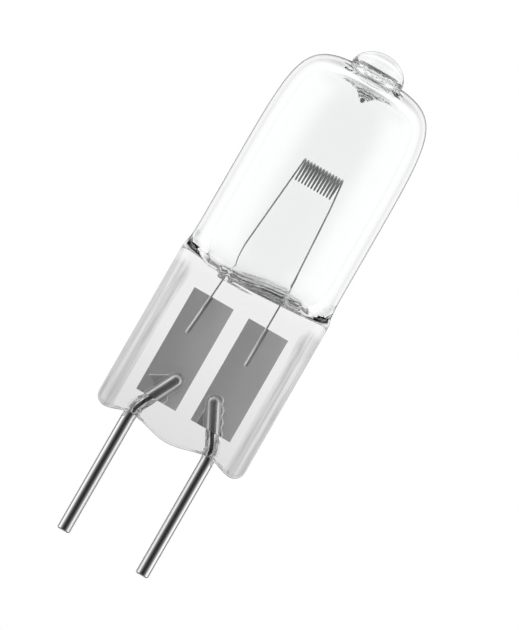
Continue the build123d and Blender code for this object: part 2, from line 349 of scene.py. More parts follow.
# Studio, by direction: the room runs from 0 in front of the bulb to 1 behind it, and the others run from
# level to straight down or straight up
ROOM_ON_METAL = ((0.0, 0.025), (0.05, 0.08), (0.12, 0.19), (0.22, 0.5), (0.36, 1.15), (0.6, 1.1), (0.75, 0.1),
                 (0.86, 0.1), (0.91, 1.0), (0.955, 1.0), (0.985, 0.02))
ROOM_ON_GLASS = ((0.12, 0.04), (0.35, 1.1), (0.93, 1.1), (0.985, 0.9))
TABLE_MIRRORED = ((0.35, 1.0), (0.75, 0.2))
TABLE_THROUGH_GLASS = ((0.35, 1.0), (0.9, 0.75))
CEILING_MIRRORED = ((0.75, 1.0), (0.98, 0.05))
MOST_BOUNCES = 32
GLOSSY_BOUNCES = 16

# Camera, matched to the photograph
FRAME_HEIGHT = 44.24
CAMERA_X = 1.25
CAMERA_Z = 19.99
CAMERA_ROLL = math.radians(29.9)
LENS = 1000.0
SENSOR = 36.0
NEAREST = 10.0
FARTHEST = 10000.0

# Sockets of a Mix node that take and give colours
MIX_FIRST = 6
MIX_SECOND = 7
MIX_RESULT = 2


# Curves

def smooth_step(share):
    """Rise from 0 to 1 that starts and ends level, held at 0 and 1 outside."""
    share = np.clip(share, 0, 1)
    return share * share * (3 - 2 * share)


def fade_in(value, start, run):
    """Smooth step that rises from 0 at start to 1 after the run."""
    return smooth_step((value - start) / run)


def fade_out(value, end, run):
    """Smooth step that falls over the run to 0 at end."""
    return smooth_step((end - value) / run)


def plateau(value, start, end, rise, fall):
    """A smooth rise after start, 1 from there on, and a smooth fall before end."""
    return fade_in(value, start, rise) * fade_out(value, end, fall)


def bell(value, middle, width):
    """Bell curve of height 1: e to the power of minus the squared distance from its middle in widths."""
    return np.exp(-(((value - middle) / width) ** 2))


def between(start, end, share):
    """Value that lies the given share of the way from start to end."""
    return start + (end - start) * share


def full_turn(columns):
    """Equal angles round a full turn."""
    return np.arange(columns) * 2 * np.pi / columns


def following_shares(rows):
    """Equal shares from 0 to 1 without the 0, which the stretch before already has."""
    return np.linspace(0, 1, rows)[1:]


def bezier(points, share):
    """Point of a cubic Bezier curve at each share of its run."""
    a, b, c, d = (np.asarray(point, float) for point in points)
    t = np.asarray(share, float)[:, None]
    return a * (1 - t) ** 3 + 3 * b * t * (1 - t) ** 2 + 3 * c * t * t * (1 - t) + d * t**3


# Meshes

def grid_faces(rows, columns, first=0):
    """Quads of a grid of points whose columns close on themselves."""
    row = np.arange(rows - 1)[:, None] * columns + first
    here = np.arange(columns)[None, :]
    following = (here + 1) % columns
    quads = np.stack([row + here, row + columns + here, row + columns + following, row + following], -1)
    return quads.reshape(-1, 4)


def strip_faces(rows, columns):
    """Quads of an open grid of points."""
    row = np.arange(rows - 1)[:, None] * columns
    here = np.arange(columns - 1)[None, :]
    quads = np.stack([row + here, row + columns + here, row + columns + here + 1, row + here + 1], -1)
    return quads.reshape(-1, 4)


def turned_rows(radius, height, angle):
    """Rows of points turned on the axis from a list of radii and heights."""
    x = radius[:, None] * np.cos(angle)[None, :]
    y = radius[:, None] * np.sin(angle)[None, :]
    z = np.repeat(height[:, None], len(angle), 1)
    return np.stack([x, y, z], -1)


def tube(path, radius, sides):
    """Rings of points round a path that starts upwards, on frames carried along it without twist."""
    tangent = np.gradient(path, axis=0)
    tangent /= np.linalg.norm(tangent, axis=1)[:, None]
    normal = np.zeros_like(path)
    guide = np.array([0.0, 1.0, 0.0])
    for step in range(len(path)):
        guide = guide - tangent[step] * (guide @ tangent[step])
        guide = guide / np.linalg.norm(guide)
        normal[step] = guide
    side = np.cross(normal, tangent)
    turn = full_turn(sides)[None, :, None]
    ring = normal[:, None, :] * np.cos(turn) + side[:, None, :] * np.sin(turn)
    return path[:, None, :] + ring * np.reshape(radius, (len(path), -1, 1))


def make_piece(name, points, faces, material, node, painted_shade=None):
    """Smooth mesh from points in millimetres, its coincident points merged, that stands for a CAD node.
    The last argument gives a share of painted shade at each point, which the material can read."""
    mesh = bpy.data.meshes.new(name)
    mesh.from_pydata((points * MM).tolist(), [], faces.tolist())
    if painted_shade is not None:
        mesh.attributes.new(PAINTED_SHADE_ATTRIBUTE, "FLOAT", "POINT").data.foreach_set("value", painted_shade)
    shape = bmesh.new()
    shape.from_mesh(mesh)
    bmesh.ops.remove_doubles(shape, verts=shape.verts, dist=MERGE_DISTANCE)
    shape.to_mesh(mesh)
    shape.free()
    mesh.shade_smooth()
    mesh.set_sharp_from_angle(angle=SHARP_ANGLE)
    mesh.materials.append(material)
    piece = bpy.data.objects.new(name, mesh)
    bpy.context.scene.collection.objects.link(piece)
    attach(piece, "root")
    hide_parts(node)
    return piece


def round_bar(name, path, radius, sides, material, node):
    """Piece with a round section along a path, which closes where the radius is 0."""
    points = tube(path, radius, sides)
    faces = grid_faces(*points.shape[:2])
    make_piece(name, points.reshape(-1, 3), faces, material, node)


# Outside of the glass

def stadium(half_width, half_thickness, angle):
    """Round-ended flat section: in each quarter turn, a share of the angle goes round the end and the
    rest goes straight along the flat."""
    quarter = np.floor(angle / (np.pi / 2) + ROUNDING)
    share = angle / (np.pi / 2) - quarter
    share = np.where(quarter % 2 == 1, 1 - share, share)
    straight = half_width - half_thickness
    turn = np.clip(share / ROUND_END_SHARE, 0, 1) * np.pi / 2
    along = np.clip((share - ROUND_END_SHARE) / (1 - ROUND_END_SHARE), 0, 1)
    round_x = straight + half_thickness * np.cos(turn)
    x = np.where(share < ROUND_END_SHARE, round_x, straight * (1 - along))
    y = half_thickness * np.sin(turn)
    return x * np.sign(np.cos(angle) + ROUNDING), y * np.sign(np.sin(angle) + ROUNDING)


def squeezed(radius, flat, angle, squeeze):
    """Section whose points have gone the squeeze's share of the way from a circle to a flat section."""
    x = between(radius * np.cos(angle), flat[0], squeeze)
    y = between(radius * np.sin(angle), flat[1], squeeze)
    return x, y


def dome_curve(share):
    """Half outline of the dome, as radius and height: a Bezier curve, level at the axis, that comes down
    upright to the straight side."""
    crown = (0, CROWN_Z)
    crown_handle = (CROWN_HANDLE_RADIUS, CROWN_Z)
    side_handle = (BULB_RADIUS, DOME_HANDLE_Z)
    side = (BULB_RADIUS, DOME_START_Z)
    return bezier((crown, crown_handle, side_handle, side), share)


def outer_bulb(angle):
    """Tip, dome and straight side, turned on the axis: a quarter of an ellipse, the dome's curve from the
    tip's edge outwards, and an upright line."""
    sample = np.arange(DOME_SAMPLES)
    dome = dome_curve(np.linspace(0, 1, DOME_SAMPLES))
    start = np.interp(TIP_RADIUS + TIP_SEAM, dome[:, 0], sample)
    pick = between(start, sample[-1], np.linspace(0, 1, DOME_ROWS) ** DOME_CROWDING)
    dome_r = np.interp(pick, sample, dome[:, 0])
    dome_z = np.interp(pick, sample, dome[:, 1])
    turn = np.linspace(0, np.pi / 2, TIP_ROWS)
    tip_r = TIP_RADIUS * np.sin(turn)
    tip_z = between(dome_z[0], TIP_TOP_Z, np.cos(turn))
    side_z = np.linspace(DOME_START_Z, NECK_Z, SIDE_ROWS)[1:]
    radius = np.concatenate([tip_r, dome_r, np.full(len(side_z), BULB_RADIUS)])
    height = np.concatenate([tip_z, dome_z, side_z])
    return turned_rows(radius, height, angle)


def pinch_curve():
    """How far the tube is squeezed and how far down: a bowl that turns into the press round a fillet."""
    bowl = bezier((ROUND_TUBE, *BOWL_HANDLES, BOWL_END), following_shares(BOWL_ROWS))
    fillet = bezier((BOWL_END, *FILLET_HANDLES, FLAT_END), following_shares(FILLET_ROWS))
    curve = np.concatenate([bowl, fillet])
    return curve[:, :1], curve[:, 1:]


def bowl_lean(x, share):
    """Rise of the pinched end of the bulb on the right and fall on the left: a sine across its width
    times the squared share."""
    return BOWL_LEAN * np.sin(np.pi * np.clip(x / BOWL_LEAN_WIDTH, -1, 1)) * share * share


def outer_shoulder(angle):
    """Pinched end of the bulb: sections from round to flat down the pinch's curve, which lean most where
    the bowl ends."""
    squeeze, level = pinch_curve()
    x, y = squeezed(BULB_RADIUS, stadium(PRESS_HALF_WIDTH, RIB_HALF, angle), angle, squeeze)
    bowl_level = BOWL_END[1]
    share = np.minimum(level / bowl_level, (1 - level) / (1 - bowl_level))
    z = between(NECK_Z, PRESS_TOP_Z, level) + bowl_lean(x, share)
    return np.stack([x, y, z], -1)


def foot_z(x):
    """Height of the foot's edge: low at the corners and the middle, and high at each pin."""
    reach = np.abs(x)
    inner = between(FOOT_MIDDLE_Z, FOOT_PIN_Z, (1 - np.cos(np.pi * reach / PIN_X)) / 2)
    outer_share = np.clip((reach - PIN_X) / (FOOT_CORNER_X - PIN_X), 0, 1)
    outer = between(FOOT_PIN_Z, FOOT_CORNER_Z, (1 - np.cos(np.pi * outer_share)) / 2)
    return np.where(reach < PIN_X, inner, outer)


def recess_share(x, z):
    """How far a point of the press lies in the recess that the jaw left: a smooth step, over the distance
    from the recess's round-cornered outline, from 0 outside to 1 inside."""
    beside = np.abs(x) - (RECESS_HALF_WIDTH - RECESS_CORNER)
    above = (z - RECESS_TOP_Z) * RECESS_TOP_STEEPNESS + RECESS_CORNER
    outside = np.hypot(np.maximum(beside, 0), np.maximum(above, 0))
    distance = outside - RECESS_CORNER + np.minimum(np.maximum(beside, above), 0)
    return 1 - smooth_step(distance / RECESS_EDGE / 2 + 0.5)


def press_y(x, flat_y, z):
    """Depth of a point of the press: that of its flat section at the ribs, and less on the web."""
    web = np.minimum(np.abs(flat_y), WEB_HALF)
    return np.sign(flat_y) * between(np.abs(flat_y), web, recess_share(x, z))


def rounded_corner(x, z):
    """Draws the press's sides in to the round corners of its foot."""
    drop = np.clip((FOOT_CORNER_Z + FOOT_CORNER_RADIUS - z) / FOOT_CORNER_RADIUS, 0, 1)
    excess = np.maximum(np.abs(x) - FOOT_CORNER_X, 0)
    return x - np.sign(x) * excess * (1 - np.sqrt(1 - drop * drop))


def foot_crease(x, turn):
    """Groove in the foot's rounding beside each pin, where the glass closed over it: a bell curve round
    the rounding, on a stretch beside the pin."""
    beside = np.abs(np.abs(x) - PIN_X)
    stretch = plateau(beside, CREASE_START, CREASE_END, CREASE_RISE, CREASE_FALL)
    return CREASE_DEPTH * stretch * bell(turn, CREASE_TURN, CREASE_WIDTH)


def outer_press(angle):
    """Flat press and its foot: the flat section carried down to the waved edge, with the recess taken off
    its depth, then a quarter round that closes on the seam under the foot."""
    flat_x, flat_y = stadium(PRESS_HALF_WIDTH, RIB_HALF, angle)
    edge_z = foot_z(flat_x) + FOOT_ROUNDING
    z = between(PRESS_TOP_Z, edge_z, following_shares(PRESS_ROWS)[:, None] ** PRESS_CROWDING)
    press = np.stack([rounded_corner(flat_x, z), press_y(flat_x, flat_y, z), z], -1)
    turn = np.linspace(0, np.pi / 2, FOOT_ROWS)[1:, None]
    z = edge_z - FOOT_ROUNDING * np.sin(turn)
    y = press_y(flat_x, flat_y, edge_z) * np.cos(turn) * (1 - foot_crease(flat_x, turn))
    foot = np.stack([rounded_corner(flat_x, z), y, z], -1)
    return np.concatenate([press, foot])


def outer_skin(columns):
    """Outside of the envelope, from the top of the tip down to the seam under the foot."""
    angle = full_turn(columns)
    return np.concatenate([outer_bulb(angle), outer_shoulder(angle), outer_press(angle)])


# Inside of the glass

def fused_bumps(x, y):
    """Irregular bumps of melted glass: a product of two slanting waves, and a finer one added."""
    return crossed_waves(BROAD_BUMPS, x, y) + FINE_BUMP_SHARE * crossed_waves(FINE_BUMPS, x, y)


def crossed_waves(waves, x, y):
    """Product of two sine waves that each run in a direction of their own."""
    first, second = (np.sin(rate_x * x + rate_y * y + start) for rate_x, rate_y, start in waves)
    return first * second


def gas_dome(angle):
    """Dome and straight side, turned on the axis: the outer curve moved inwards by the wall, lowered by a
    bell-shaped drop and a ledge at the axis, with fused bumps in a ring round them."""
    curve = dome_curve(np.linspace(0, 1, CAVITY_DOME_ROWS) ** CAVITY_DOME_CROWDING)
    along = np.gradient(curve, axis=0)
    along /= np.linalg.norm(along, axis=1)[:, None]
    curve = curve + BULB_WALL * np.stack([along[:, 1], -along[:, 0]], -1)
    curve[0, 0] = 0
    drop = DROP_LENGTH * bell(curve[:, 0], 0, DROP_RADIUS)
    drop += LEDGE_DEPTH * fade_out(curve[:, 0], LEDGE_RADIUS, LEDGE_EDGE)
    side_z = np.linspace(DOME_START_Z, NECK_Z, CAVITY_SIDE_ROWS)[1:]
    radius = np.concatenate([curve[:, 0], np.full(len(side_z), CAVITY_RADIUS)])
    height = np.concatenate([curve[:, 1] - drop, side_z])
    dome = turned_rows(radius, height, angle)
    ring = plateau(radius, RING_START, RING_END, RING_RISE, RING_FALL)[:, None]
    dome[..., 2] += RING_ROUGHNESS * fused_bumps(dome[..., 0], dome[..., 1]) * ring
    return dome


def floor_rise(x):
    """Unevenness of the floor along X: a smooth step up, a dip, sine ripples and raised corners."""
    step = FLOOR_STEP * fade_in(x, FLOOR_STEP_X, FLOOR_STEP_RUN)
    dip = FLOOR_DIP * fade_in(x, FLOOR_DIP_X, FLOOR_DIP_RUN)
    ripples = sum(height * np.sin(rate * x + start) for height, rate, start in FLOOR_RIPPLES)
    outward = np.clip((np.abs(x) - FLOOR_CORNER_X) / FLOOR_CORNER_RUN, 0, 1)
    corners = FLOOR_CORNER_RISE * outward**FLOOR_CORNER_POWER
    return step - FLOOR_SINK - dip + ripples + corners


def floor_z(x):
    """Height of the floor of the gas space, with its unevenness and its lean."""
    return FLOOR_Z + floor_rise(x) + bowl_lean(x, 1)


def seam_folds(x, y):
    """Folds that the jaws left along the middle of the floor: a sine across it that slants and wanders,
    fading out at both ends and where a leg passes."""
    stretch = plateau(x, FOLD_LEFT_X, FOLD_RIGHT_X, FOLD_FADE, FOLD_FADE)
    at_legs = sum(bell(x, place, LEG_CLEARANCE) for place in LEG_PLACES)
    wander = FOLD_WANDER * np.sin(FOLD_WANDER_RATE * x)
    wave = np.sin(FOLD_RATE * y + FOLD_SLANT_RATE * x + FOLD_START + wander)
    return FOLD_HEIGHT * stretch * (1 - at_legs) * wave


def gas_pinch(angle):
    """Pinched lower end: sections from round to flat down a Bezier curve, with the folds growing in."""
    curve = bezier((ROUND_TUBE, *CAVITY_HANDLES, FLAT_END), following_shares(CAVITY_PINCH_ROWS))
    squeeze = curve[:, :1]
    level = curve[:, 1:]
    x, y = squeezed(CAVITY_RADIUS, stadium(FLOOR_HALF_WIDTH, FLOOR_HALF, angle), angle, squeeze)
    z = between(NECK_Z, FLOOR_Z + floor_rise(x), level) + bowl_lean(x, level)
    z += seam_folds(x, y) * level**FOLD_RISE_POWER
    return np.stack([x, y, z], -1)


def gas_floor(angle):
    """Floor: the flat section drawn together, deeper as the square of the share, to a seam along X."""
    flat_x, flat_y = stadium(FLOOR_HALF_WIDTH, FLOOR_HALF, angle)
    share = following_shares(FLOOR_ROWS)[:, None]
    x = flat_x - np.sign(flat_x) * SEAM_DRAW_IN * share * np.clip(np.abs(flat_x) - SEAM_DRAW_IN_X, 0, 1)
    y = flat_y * (1 - share)
    z = floor_z(x) - SEAM_DROP * share * share
    z += seam_folds(x, y)
    return np.stack([x, y, z], -1)


def gas_space(columns):
    """Inside of the envelope, from the drop of glass under the crown down to the pinched floor."""
    angle = full_turn(columns)
    return np.concatenate([gas_dome(angle), gas_pinch(angle), gas_floor(angle)])


def painted_fold_shade(skin):
    """How much painted shade a point of the gas space's skin carries in the folds: all the way between the
    legs, half on both sides of them, and less with height over the floor."""
    x = skin[..., 0]
    z = skin[..., 2]
    middle = plateau(x, *SHADE_BETWEEN_LEGS, SHADE_BETWEEN_LEGS_FADE, SHADE_BETWEEN_LEGS_FADE)
    ends = plateau(x, *SHADE_TO_ENDS, SHADE_TO_ENDS_FADE, SHADE_TO_ENDS_FADE)
    return (middle + ends) / 2 * fade_out(z, floor_z(x) + SHADE_HEIGHT, SHADE_HEIGHT_FADE)


def tip_bubble(columns):
    """Closed end of the exhaust bore in the tip: a flat ellipsoid, rough below where the glass fused."""
    turn = np.linspace(0, np.pi, BUBBLE_ROWS)
    middle_z = (BUBBLE_TOP_Z + BUBBLE_BOTTOM_Z) / 2
    half_height = (BUBBLE_TOP_Z - BUBBLE_BOTTOM_Z) / 2
    radius = BUBBLE_RADIUS * np.sin(turn)
    bubble = turned_rows(radius, middle_z + half_height * np.cos(turn), full_turn(columns))
    low = fade_in(turn, BUBBLE_ROUGH_TURN, BUBBLE_ROUGH_RUN)[:, None]
    bubble[..., 2] += BUBBLE_ROUGHNESS * fused_bumps(bubble[..., 0], bubble[..., 1]) * low
    return bubble


def seal_gap(side, columns):
    """Thin gap that the glass leaves round a pin above the foot: a tube on the pin's centre line, widened
    by a wedge on its inner side and a sleeve on its outer side."""
    path = pin_centre_line(side)
    path = path[(path[:, 2] > GAP_BOTTOM_Z) & (path[:, 2] < GAP_TOP_Z)]
    share = np.linspace(0, 1, GAP_ROWS)
    line = np.linspace(0, 1, len(path))
    path = np.stack([np.interp(share, line, path[:, axis]) for axis in range(3)], -1)
    inward = -side * np.sin(full_turn(columns))[None, :]
    share = share[:, None]
    opening = fade_in(share, 0, GAP_OPENING)
    wedge = GAP_WEDGE * np.maximum(inward, 0) ** GAP_WEDGE_POWER
    wedge = wedge * fade_out(share, GAP_WEDGE_END, GAP_WEDGE_FADE) * opening
    sleeve = GAP_SLEEVE * np.maximum(-inward, 0) ** GAP_SLEEVE_POWER
    sleeve = sleeve * fade_out(share, 1, GAP_SLEEVE_FADE) * opening
    radius = PIN_RADIUS - GAP_IN_PIN + wedge + sleeve
    radius[0] = 0
    radius[-1] = 0
    return tube(path, radius, columns)


def even_shade(skin, shade):
    """The same painted shade at every point of a skin."""
    return np.full(skin.shape[:2], shade)


def quartz_envelope(material):
    """Blown glass in one piece: an outer skin, with the gas space, the bubble and the gaps round the pins
    as skins that face inwards."""
    outside = outer_skin(OUTER_COLUMNS)
    inside = gas_space(CAVITY_COLUMNS)
    bubble = tip_bubble(BUBBLE_COLUMNS)
    gaps = [seal_gap(side, GAP_COLUMNS) for side in (LEFT, RIGHT)]
    skins = [outside, inside, bubble, *gaps]
    faces = []
    first = 0
    for skin in skins:
        rows, columns = skin.shape[:2]
        quads = grid_faces(rows, columns, first)
        faces.append(quads if skin is outside else quads[:, ::-1])
        first += rows * columns
    # Painted shade: in the folds of the gas space's floor, all along the gaps round the pins, and none
    # elsewhere
    shades = [even_shade(outside, 0.0), painted_fold_shade(inside), even_shade(bubble, 0.0)]
    shades += [even_shade(gap, PAINTED_GAP_SHADE) for gap in gaps]
    points = np.concatenate([skin.reshape(-1, 3) for skin in skins])
    painted_shade = np.concatenate([shade.reshape(-1) for shade in shades])
    faces = np.concatenate(faces)
    piece = make_piece("quartz_glass", points, faces, material, "quartz_envelope", painted_shade)
    piece.visible_shadow = False


# Pins

def pin_centre_line(side):
    """Points along one pin: straight up, round its bend and on to its leaning inner end."""
    reach = PIN_BEND_RADIUS * math.tan(PIN_LEAN / 2)
    straight = np.linspace(0, PIN_BEND_Z - reach, PIN_ROWS)
    turn = np.linspace(0, PIN_LEAN, PIN_BEND_ROWS)[1:]
    bend_x = -PIN_BEND_RADIUS * (1 - np.cos(turn))
    bend_z = straight[-1] + PIN_BEND_RADIUS * np.sin(turn)
    share = 1 - np.linspace(1, 0, PIN_LEAN_ROWS)[1:] ** PIN_LEAN_CROWDING
    run = (PIN_END_Z - bend_z[-1]) / math.cos(PIN_LEAN) * share
    lean_x = bend_x[-1] - run * math.sin(PIN_LEAN)
    lean_z = bend_z[-1] + run * math.cos(PIN_LEAN)
    inward = np.concatenate([0 * straight, bend_x, lean_x])
    z = np.concatenate([straight, bend_z, lean_z])
    return np.stack([side * (PIN_X + inward), 0 * z, z], -1)


def contact_pin(side, name, material):
    """Round pin with a small chamfer on its free end and a rounded inner end."""
    path = pin_centre_line(side)
    low = path[:1]
    rise = np.array([[0, 0, PIN_CHAMFER]])
    high = path[-1:]
    path = np.concatenate([low, low, low + rise, path[1:], high])
    to_end = np.linalg.norm(path - high, axis=1)
    into_end = np.clip(1 - to_end / PIN_RADIUS, 0, 1)
    radius = PIN_RADIUS * np.sqrt(1 - into_end * into_end)
    radius[0] = 0
    radius[1] = PIN_RADIUS - PIN_CHAMFER
    path[1, 2] += NUDGE
    path[-1] += (path[-2] - path[-3]) * NUDGE
    round_bar("polished_" + name, path, radius, PIN_SIDES, material, name)


# Filament

def coil_bend(x, gain, up):
    """Half round of a turn, over its top where up is 1 and round its underside where up is -1."""
    arc = np.linspace(0, np.pi, COIL_BEND_ROWS)
    share = (1 - np.cos(arc)) / 2
    y = -up * COIL_HALF_DEPTH * np.cos(arc)
    z = COIL_CENTRE_Z + up * COIL_HALF_STRAIGHT + up * COIL_HALF_DEPTH * np.sin(arc)
    return np.stack([x + gain * COIL_PITCH * share, y, z], -1)


def coil_side(x, gain, up):
    """Straight of a turn, up its front where up is 1 and down its back where up is -1."""
    rise = np.linspace(-COIL_HALF_STRAIGHT, COIL_HALF_STRAIGHT, COIL_SIDE_ROWS)[1:-1][::up]
    share = (COIL_HALF_STRAIGHT + up * rise) / COIL_HALF_STRAIGHT / 2
    y = 0 * rise - up * COIL_HALF_DEPTH
    return np.stack([x + gain * COIL_PITCH * share, y, COIL_CENTRE_Z + rise], -1)


def flat_coil():
    """Centre line of the coil: each turn goes over the top, down the back, under and up the front, and
    advances by its share of the pitch on each stretch."""
    top = (coil_bend, TOP_GAIN, 1)
    back = (coil_side, BACK_GAIN, -1)
    under = (coil_bend, UNDER_GAIN, -1)
    front = (coil_side, FRONT_GAIN, 1)
    first_x = SEAL_OFFSET - (COIL_TURNS + TOP_GAIN) * COIL_PITCH / 2
    points = []
    for turn in range(COIL_TURNS):
        x = first_x + turn * COIL_PITCH
        for stretch, gain, up in (top, back, under, front):
            points.append(stretch(x, gain, up))
            x += gain * COIL_PITCH
    points.append(coil_bend(first_x + COIL_TURNS * COIL_PITCH, TOP_GAIN, 1))
    return np.concatenate(points)


def leg(start, route):
    """Leg from the coil's end straight from place to place of its route, with its depth easing from the
    coil's front or back to the middle of the press."""
    x = np.array([start[0], *(place[0] for place in route)])
    z = np.array([start[2], *(place[1] for place in route)])
    height = np.linspace(z[0], z[-1], LEG_ROWS)[1:]
    sway = np.interp(height, z[::-1], x[::-1])
    y = start[1] * fade_in(height, FOIL_TOP_Z, z[0] - FOIL_TOP_Z)
    return np.stack([sway, y, height], -1)


def tungsten_filament(material):
    """One round wire: left leg up, round the flat coil, and right leg down."""
    coil = flat_coil()
    left = leg(coil[0], LEG_ROUTE[LEFT])
    right = leg(coil[-1], LEG_ROUTE[RIGHT])
    path = np.concatenate([left[-1:], left[::-1], coil, right, right[-1:]])
    path[0] += (path[1] - path[2]) * NUDGE
    path[-1] += (path[-2] - path[-3]) * NUDGE
    radius = np.full(len(path), WIRE_RADIUS)
    radius[0] = 0
    radius[-1] = 0
    round_bar("drawn_filament", path, radius, WIRE_SIDES, material, "tungsten_filament")


# Foils

def by_pin_end(side, x, z):
    """Where points of a foil lie by its pin's inner end: the distance down the pin, the distance across
    it, and the distance from its centre line, which stops one radius below the end."""
    end_x = side * (PIN_X - (PIN_END_Z - PIN_BEND_Z) * math.tan(PIN_LEAN))
    lean = -side * PIN_LEAN
    up = (x - end_x) * math.sin(lean) + (z - PIN_END_Z) * math.cos(lean)
    across = (x - end_x) * math.cos(lean) - (z - PIN_END_Z) * math.sin(lean)
    return -up, across, np.hypot(across, np.maximum(up + PIN_RADIUS, 0))


def crimp_width(side, outer, down):
    """How far a foil stands off beside its pin: a flap outside the left one and a pleat inside it, a tent
    inside the right one and a ripple outside it."""
    if side == LEFT:
        flap = FLAP_WIDTH * np.clip((down - FLAP_START) / FLAP_RUN, 0, 1)
        flap = flap * fade_out(down, FLAP_END, FLAP_EDGE)
        pleat = PLEAT_WIDTH * fade_in(down, PLEAT_START, PLEAT_RUN)
        return np.where(outer, flap, pleat)
    tent = TENT_WIDTH * np.clip((down - TENT_START) / TENT_RUN, 0, 1)
    ripple = RIPPLE_WIDTH + RIPPLE_SWING * np.sin(RIPPLE_RATE * down)
    return np.where(outer, ripple, tent)


def weld_relief(side, x, z):
    """Ridge of a foil over the welded end of its leg, a bell curve across it, and the painted shade on the
    ridge's right flank."""
    beside = x - (WELD_X[side] + (z - WELD_END_Z) * WELD_SLOPE[side])
    distance = np.hypot(beside, np.minimum(z - WELD_END_Z, 0))
    ridge = WELD_HEIGHT * bell(distance, 0, WELD_WIDTH)
    shift = FLANK_SHIFT * fade_in(z, FLANK_SHIFT_Z, FLANK_SHIFT_RUN)
    flank = plateau(beside, -shift, FLANK_WIDTH, FLANK_RISE, FLANK_FALL)
    return ridge, flank * (z > WELD_END_Z)


def foil_relief(side, x, z):
    """How far a foil stands forward and how much painted shade it carries: round over its pin's inner end,
    sloping down from there, a little proud in the crimps beside the pin, and raised along the weld."""
    down, across, distance = by_pin_end(side, x, z)
    radius = PIN_RADIUS + FOIL_THICKNESS
    over_pin = np.sqrt(np.maximum(radius * radius - distance * distance, 0))
    hug = HUG_HEIGHT * np.clip(1 - (distance - HUG_START) / HUG_WIDTH, 0, 1)
    drawn = np.where(distance > HUG_START, hug, over_pin)
    crimp = 1 - fade_in(distance - radius, crimp_width(side, side * across > 0, down), CRIMP_EDGE)
    ridge, flank = weld_relief(side, x, z)
    relief = np.maximum(np.maximum(drawn, CRIMP_HEIGHT * crimp), ridge)

    # Painted shade over the pin's core and slopes, on the weld's right flank and in the crimps
    core = 1 - fade_in(distance, DARK_CORE, DARK_EDGE)
    slope = fade_in(distance, DARK_SLOPE_START, DARK_EDGE) - fade_in(distance, DARK_SLOPE_END, DARK_EDGE)
    dark = np.maximum(np.maximum(core, DARK_SLOPE_SHARE * slope), flank)
    painted_crimp_shade = PAINTED_CRIMP_SHADE[side] * crimp * (distance > radius + HUG_WIDTH)
    return relief, np.maximum(dark, painted_crimp_shade)


def seal_foil(side, name, material):
    """Thin strip as a height field with a front and a back, and walls round its rim."""
    centre = SEAL_OFFSET + side * (FOIL_WIDTH + FOIL_GAP) / 2
    across = np.linspace(centre - FOIL_WIDTH / 2, centre + FOIL_WIDTH / 2, FOIL_COLUMNS)
    up = between(FOIL_BOTTOM_Z, FOIL_TOP_Z, np.linspace(0, 1, FOIL_ROWS) ** FOIL_CROWDING)
    z, x = np.meshgrid(up, across, indexing="ij")
    relief, painted_shade = foil_relief(side, x, z)
    front = np.stack([x, -relief - FOIL_THICKNESS, z], -1)
    back = np.stack([x, -relief, z], -1)
    rows, columns = x.shape
    faces = strip_faces(rows, columns)
    rim = np.concatenate([
        np.arange(columns),
        np.arange(1, rows) * columns + columns - 1,
        (rows - 1) * columns + np.arange(columns - 2, -1, -1),
        np.arange(rows - 2, 0, -1) * columns,
    ])
    following = np.roll(rim, -1)
    count = rows * columns
    walls = np.stack([rim, following, following + count, rim + count], -1)
    faces = np.concatenate([faces[:, ::-1], faces + count, walls[:, ::-1]])
    points = np.concatenate([front.reshape(-1, 3), back.reshape(-1, 3)])
    painted_shade = np.tile(painted_shade.reshape(-1), 2)
    make_piece("satin_" + name, points, faces, material, name, painted_shade)


# Shader nodes

def new_material(name):
    """New material, its node tree and its Principled shader."""
    material = bpy.data.materials.new(name)
    material.use_nodes = True
    tree = material.node_tree
    return material, tree, tree.nodes["Principled BSDF"]


def axes(tree, kind):
    """The X, Y and Z of a kind of texture coordinates."""
    coordinates = tree.nodes.new("ShaderNodeTexCoord")
    split = tree.nodes.new("ShaderNodeSeparateXYZ")
    tree.links.new(coordinates.outputs[kind], split.inputs["Vector"])
    return split.outputs


def stretched_noise(tree, grain, stretch):
    """Noise in the object's own coordinates, each multiplied by its stretch."""
    coordinates = tree.nodes.new("ShaderNodeTexCoord")
    mapping = tree.nodes.new("ShaderNodeMapping")
    mapping.inputs["Scale"].default_value = stretch
    noise = tree.nodes.new("ShaderNodeTexNoise")
    noise.inputs["Scale"].default_value = grain
    noise.inputs["Detail"].default_value = NOISE_DETAIL
    tree.links.new(coordinates.outputs["Object"], mapping.inputs["Vector"])
    tree.links.new(mapping.outputs["Vector"], noise.inputs["Vector"])
    return noise.outputs["Fac"]


def painted_shade_share(tree):
    """The share of painted shade that the mesh carries at its points."""
    node = tree.nodes.new("ShaderNodeAttribute")
    node.attribute_name = PAINTED_SHADE_ATTRIBUTE
    return node.outputs["Fac"]


def share_between(tree, value, low, high):
    """How far a value lies between two others: 0 up to the first, 1 from the second on."""
    share = tree.nodes.new("ShaderNodeMapRange")
    share.inputs["From Min"].default_value = low
    share.inputs["From Max"].default_value = high
    tree.links.new(value, share.inputs["Value"])
    return share.outputs["Result"]


def height_share(tree, low, high):
    """How far the object's own height lies between two heights: 0 below, 1 above."""
    return share_between(tree, axes(tree, "Object")["Z"], low * MM, high * MM)


def calculate(tree, operation, first, second):
    """Result of a Math node on a value and a second value or number."""
    node = tree.nodes.new("ShaderNodeMath")
    node.operation = operation
    tree.links.new(first, node.inputs[0])
    if isinstance(second, float):
        node.inputs[1].default_value = second
    else:
        tree.links.new(second, node.inputs[1])
    return node.outputs[0]


